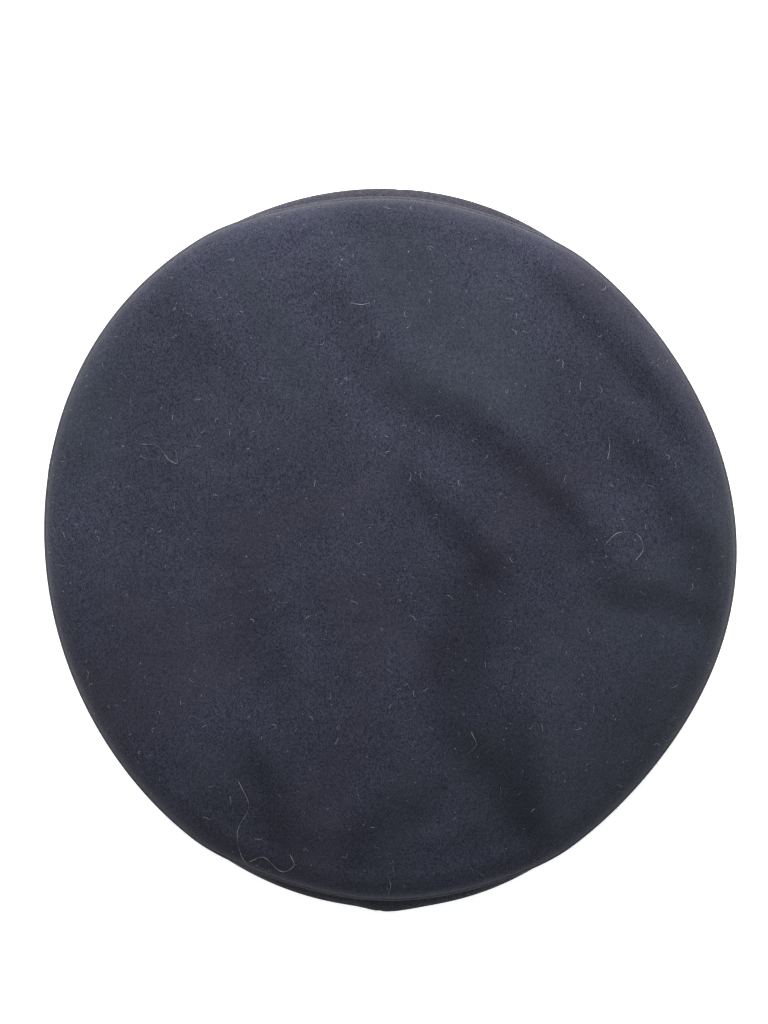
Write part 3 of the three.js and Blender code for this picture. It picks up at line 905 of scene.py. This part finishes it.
def seamRoute(points, towards):
    section = sectionLine(points, 0.5) * mm
    return np.column_stack([np.zeros(len(section)), towards * section[:, 0], section[:, 1]])


for word, towards in (("front", -1), ("back", 1)):
    route = settle(seamRoute([(135, 11.4), (128.2, 8.1), (116.8, 5.9)], towards))
    away = np.tile([0.0, 0.0, 1.0], (len(route), 1))
    makeStitches(word + "SeamStitches", word + "_seam_thread", None, stitchRow(route, away))
    route = settle(seamRoute([(127.2, 13.6), (124.6, 11.0), (117.6, 9.3)], towards))
    away = np.tile([0.0, 0.0, 1.0], (len(route), 1))
    makeStitches(word + "LiningStitches", word + "_lining_thread", None, stitchRow(route, away))


def labelRoute():
    halfX = (label["width"] / 2 - label["hem"]) * mm
    halfY = (label["depth"] / 2 - label["hem"]) * mm
    corners = [(-halfX, -halfY), (halfX, -halfY), (halfX, halfY), (-halfX, halfY), (-halfX, -halfY)]
    found = []
    for (ax, ay), (bx, by) in zip(corners, corners[1:]):
        for t in np.linspace(0, 1, 60, endpoint=False):
            found.append((ax + (bx - ax) * t, ay + (by - ay) * t + label["y"] * mm, (label["top"] - 0.62) * mm))
    found.append(found[0])
    return np.array(found)


route = labelRoute()
makeStitches("labelStitches", "label_thread", "crown",
             stitchRow(settle(route, 1.0), np.tile([0.0, 0.0, -1.0], (len(route), 1)), 2.0))
print("stitches")

# how many of each, and their thicknesses in millimetres
fibres = {"nap": 5200, "rim": 2600, "panel": 1100, "flecks": 760, "short": 240, "thickness": 0.045,
          "fleckThickness": 0.085, "hairThickness": 0.13}

surface = BVHTree.FromObject(crownTip, bpy.context.evaluated_depsgraph_get())


def onCrown(x, y):
    # the place on the crown under a point, and the way the cloth faces there
    hit, normal, _, _ = surface.ray_cast(Vector((x, y, 0.1)), Vector((0, 0, -1)))
    return hit, normal


def randomPlace(reach):
    angle = random.uniform(-math.pi, math.pi)
    radius = crown["radius"] * reach * math.sqrt(random.random())
    radius *= 1 + float(lobeShare(angle)) * (radius / crown["radius"])
    return axisX + radius * math.cos(angle), axisY + radius * math.sin(angle)


def lyingFibre(x, y, length, bend, points):
    # a loose fibre that lies on the cloth, turning as it goes
    heading = random.uniform(0, 2 * math.pi)
    turn = random.gauss(0, bend) / points
    found = []
    for i in range(points):
        hit, normal = onCrown(x, y)
        if hit is None:
            break
        lift = 0.12 * mm * (0.6 + 0.6 * math.sin(math.pi * i / (points - 1)))
        found.append(tuple(hit + normal * lift))
        x += math.cos(heading) * length / (points - 1)
        y += math.sin(heading) * length / (points - 1)
        heading += turn + random.gauss(0, bend * 0.25)
    return found


def makeLint():
    flecks = []
    while len(flecks) < fibres["flecks"]:
        x, y = randomPlace(0.985)
        line = lyingFibre(x, y, random.uniform(0.25, 0.8) * mm, 0.8, 3)
        if len(line) == 3:
            flecks.append(line)
    for _ in range(fibres["short"]):
        x, y = randomPlace(0.98)
        line = lyingFibre(x, y, random.uniform(1.0, 3.4) * mm, 1.6, 6)
        if len(line) == 6:
            flecks.append(line)
    piece = addPiece("lintFlecks", strands("lintFlecks", flecks, fibres["fleckThickness"] * mm), lintFibre)
    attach(piece, "crown")


def makeNap():
    lines = []
    while len(lines) < fibres["nap"]:
        x, y = randomPlace(0.99)
        hit, normal = onCrown(x, y)
        if hit is None:
            continue
        lean = Vector((random.gauss(0, 0.6), random.gauss(-0.4, 0.6), 0))
        length = random.uniform(0.5, 1.3) * mm
        tip = hit + normal * length * 0.45 + lean * length * 0.6
        middle = hit + normal * length * 0.35 + lean * length * 0.2
        lines.append([tuple(hit - normal * 0.1 * mm), tuple(middle), tuple(tip)])
    piece = addPiece("napFibres", strands("napFibres", lines, fibres["thickness"] * mm), napFibre)
    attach(piece, "crown")


def makeFuzz(name, piece, count, lowZ, reach):
    # short fibres that stand out from the felt round the rim, so that its edge is soft against the light
    mesh = piece.data
    places = readPlaces(mesh)
    normals = np.empty(len(mesh.vertices) * 3, np.float32)
    mesh.vertex_normals.foreach_get("vector", normals)
    normals = normals.reshape(-1, 3).astype(float)
    flat = places[:, :2] - (axisX, axisY)
    outward = flat / np.maximum(np.linalg.norm(flat, axis=1, keepdims=True), 1e-9)
    shell = normals[:, 0] * outward[:, 0] + normals[:, 1] * outward[:, 1]
    rim = np.nonzero((shell > 0.25) & (places[:, 2] > lowZ) & (np.linalg.norm(flat, axis=1) > 0.125))[0]
    chance = random.Random(len(name))
    lines = []
    for _ in range(count):
        at = rim[chance.randrange(len(rim))]
        root, normal = Vector(places[at]), Vector(normals[at])
        root += Vector((chance.uniform(-1, 1), chance.uniform(-1, 1), chance.uniform(-0.4, 0.4))) * 0.6 * mm
        root -= normal * 0.25 * mm
        lean = Vector((chance.gauss(0, 1), chance.gauss(0, 1), chance.gauss(0, 1))) * 0.45
        length = chance.uniform(0.4, 1.0) * reach * mm
        bend = Vector((chance.gauss(0, 1), chance.gauss(0, 1), chance.gauss(0, 1))) * 0.25
        line = [root + normal * 0.2 * mm]
        line.append(root + (normal + lean).normalized() * length * 0.6)
        line.append(line[1] + (normal * 0.3 + lean + bend).normalized() * length * 0.45)
        lines.append([tuple(root)] + [tuple(v) for v in line])
    fuzz = addPiece(name, strands(name, lines, fibres["thickness"] * mm), napFibre)
    return fuzz


# long hairs that have settled on the crown, each as a path in shares of the radius
hairs = [
    [(-0.405, -0.66), (-0.375, -0.73), (-0.405, -0.80), (-0.395, -0.87), (-0.375, -0.905)],
    [(-0.37, -0.89), (-0.33, -0.875), (-0.28, -0.915), (-0.245, -0.895), (-0.255, -0.865)],
    [(0.60, 0.035), (0.635, 0.065), (0.69, 0.06), (0.705, 0.02), (0.685, -0.01)],
    [(0.24, -0.50), (0.255, -0.535), (0.235, -0.56)],
    [(-0.97, 0.17), (-0.985, 0.20), (-0.975, 0.235), (-0.955, 0.21)],
    [(-0.70, 0.275), (-0.655, 0.27), (-0.625, 0.235), (-0.60, 0.225), (-0.605, 0.26)],
    [(0.02, -0.915), (0.028, -0.945), (0.022, -0.975)],
    [(0.60, 0.33), (0.605, 0.30), (0.60, 0.27)],
    [(-0.13, 0.685), (-0.10, 0.68), (-0.075, 0.685)],
]


def makeHairs():
    lines = []
    for path in hairs:
        line = []
        for u, v in smoothPath(path, 9 * len(path)):
            x, y = axisX + u * crown["radius"], axisY + v * crown["radius"]
            hit, normal = onCrown(x, y)
            if hit is not None:
                line.append(tuple(hit + normal * 0.15 * mm))
        lines.append(line)
    piece = addPiece("lintHairs", strands("lintHairs", lines, fibres["hairThickness"] * mm, 1), lintFibre)
    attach(piece, "crown")


makeLint()
makeNap()
makeHairs()
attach(makeFuzz("rimFuzz", crownTip, fibres["rim"], 18 * mm, 0.9), "crown")
for word, panel in sidePanels.items():
    fuzz = makeFuzz("panelFuzz" + word, panel, fibres["panel"], 6 * mm, 0.8)
    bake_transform(fuzz)
print("nap and lint")

studio = {
    "viewHeight": 0.4149,  # how much the camera takes in from top to bottom at the rim
    "aside": (-0.0030, 0.0147),  # from the beret's middle to the camera
    "distance": 0.75,
    "turn": math.radians(1.6),
    "floorHeight": -0.4 * mm,
    "floorGlow": 0.85,
    "room": (0.97, 0.985, 1.02, 1),
    "roomLow": 0.8,  # how bright the room is near the floor and overhead
    "roomHigh": 0.14,
    "lightSize": 0.26,
    "lightTarget": (0, 0.05, 0.02),
    "lights": [  # place, power, colour
        ("windowLight", (0.17, 0.37, 0.37), 3.1, (1.0, 0.97, 0.93)),
        ("sideLight", (-0.32, 0.34, 0.40), 2.8, (1.0, 0.98, 0.95)),
    ],
}


def makeFloor():
    bm = bmesh.new()
    place = Matrix.Translation((0, 0, studio["floorHeight"]))
    bmesh.ops.create_grid(bm, x_segments=2, y_segments=2, size=2.5, matrix=place)
    mesh = bpy.data.meshes.new("floor")
    bm.to_mesh(mesh)
    bm.free()
    material, _, shader, _ = startMaterial("paleFloor", Roughness=0.9, Specular_IOR_Level=0.1)
    shader.inputs["Base Color"].default_value = (0.9, 0.9, 0.9, 1)
    shader.inputs["Emission Color"].default_value = (1, 1, 1, 1)
    shader.inputs["Emission Strength"].default_value = studio["floorGlow"]
    addPiece("floor", mesh, material, smooth=False)


def addArea(name, place, power, colour):
    light = bpy.data.lights.new(name, "AREA")
    light.shape = "DISK"
    light.size = studio["lightSize"]
    light.energy = power
    light.color = colour
    lamp = bpy.data.objects.new(name, light)
    lamp.location = place
    aim = Vector(studio["lightTarget"]) - Vector(place)
    lamp.rotation_euler = aim.to_track_quat("-Z", "Y").to_euler()
    bpy.context.scene.collection.objects.link(lamp)


def makeLight():
    # a pale room, brightest low down round the walls, with a window's light from behind
    world = bpy.data.worlds.new("studio")
    world.use_nodes = True
    tree = world.node_tree
    sky = tree.nodes["Background"]
    sky.inputs["Color"].default_value = studio["room"]
    heading = tree.nodes.new("ShaderNodeTexCoord").outputs["Generated"]
    parts = tree.nodes.new("ShaderNodeSeparateXYZ")
    tree.links.new(heading, parts.inputs[0])
    strength = ramp(tree, parts.outputs["Z"], 0.1, 0.6, studio["roomLow"], studio["roomHigh"])
    tree.links.new(strength, sky.inputs["Strength"])
    bpy.context.scene.world = world
    for values in studio["lights"]:
        addArea(*values)


def makeCamera():
    data = bpy.data.cameras.new("camera")
    data.sensor_width = 36
    data.lens = data.sensor_width * studio["distance"] / studio["viewHeight"]
    data.clip_start = 0.02
    data.clip_end = 20
    camera = bpy.data.objects.new("camera", data)
    camera.location = (studio["aside"][0], studio["aside"][1], crown["seamHeight"] + studio["distance"])
    camera.rotation_euler = (0, 0, studio["turn"])
    bpy.context.scene.collection.objects.link(camera)
    bpy.context.scene.camera = camera
    bpy.context.scene.view_settings.view_transform = "Standard"


makeFloor()
makeLight()
makeCamera()
print("studio")
